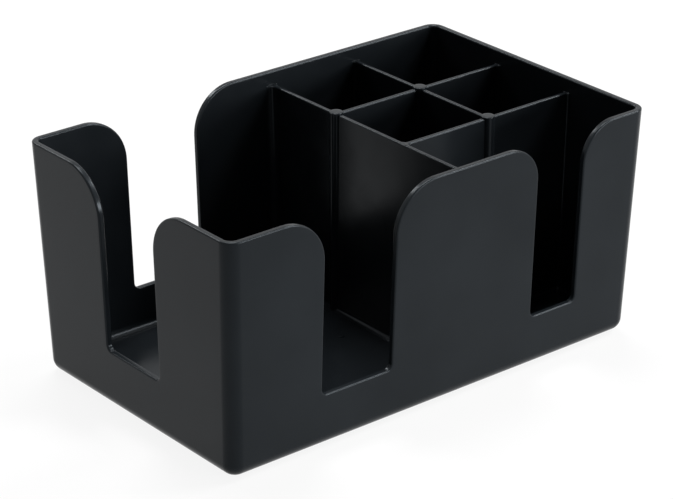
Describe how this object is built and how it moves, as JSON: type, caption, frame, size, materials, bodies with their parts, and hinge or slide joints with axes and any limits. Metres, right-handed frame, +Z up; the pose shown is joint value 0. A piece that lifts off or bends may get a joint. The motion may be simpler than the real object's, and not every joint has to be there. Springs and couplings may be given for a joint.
{
  "type": "bar caddy",
  "caption": "Open moulded tabletop caddy with a square napkin bay, a long front slot and a grid of cells, finger notches in its walls and rubber feet.",
  "frame": {"origin": "on the table, under the middle of the caddy, at the undersides of the rubber feet", "axes": "+X along the long side, from the napkin bay towards the cells; +Y to the rear, away from the long front slot; +Z up"},
  "size_m": [0.24, 0.148, 0.114],
  "materials": {
    "body_plastic": "satin black ABS, moulded",
    "foot_rubber": "matt black rubber"
  },
  "bodies": {
    "root": {"caddy_body": "body_plastic", "rubber_foot_front_left": "foot_rubber", "rubber_foot_front_right": "foot_rubber", "rubber_foot_rear_left": "foot_rubber", "rubber_foot_rear_right": "foot_rubber"}
  },
  "joints": []
}
